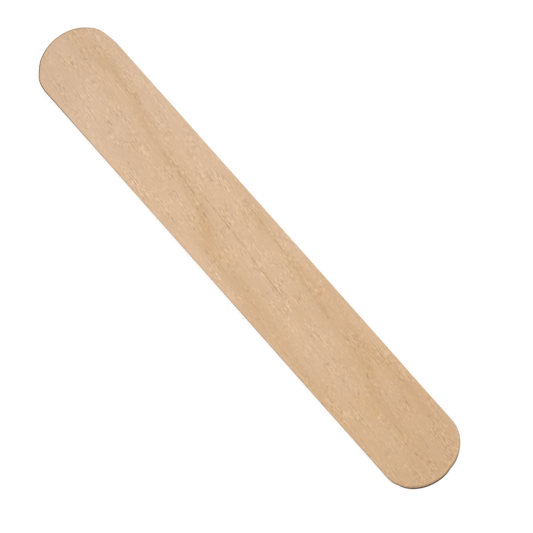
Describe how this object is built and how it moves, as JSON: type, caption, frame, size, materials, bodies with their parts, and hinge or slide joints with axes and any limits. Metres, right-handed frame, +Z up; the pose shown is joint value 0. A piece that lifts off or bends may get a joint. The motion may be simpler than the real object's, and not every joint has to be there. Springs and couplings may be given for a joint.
{
  "type": "tongue depressor",
  "caption": "Flat wooden blade with parallel sides, full-round ends and a tumbled rim, for pressing down the tongue.",
  "frame": {"origin": "centre of the blade's flat underside, which rests on the table", "axes": "+X along the blade, +Y across it, +Z up through its thickness, out of the upper broad face"},
  "size_m": [0.1524, 0.019, 0.0016],
  "materials": {
    "birch": "matte"
  },
  "bodies": {
    "root": {"blade": "birch"}
  },
  "joints": []
}
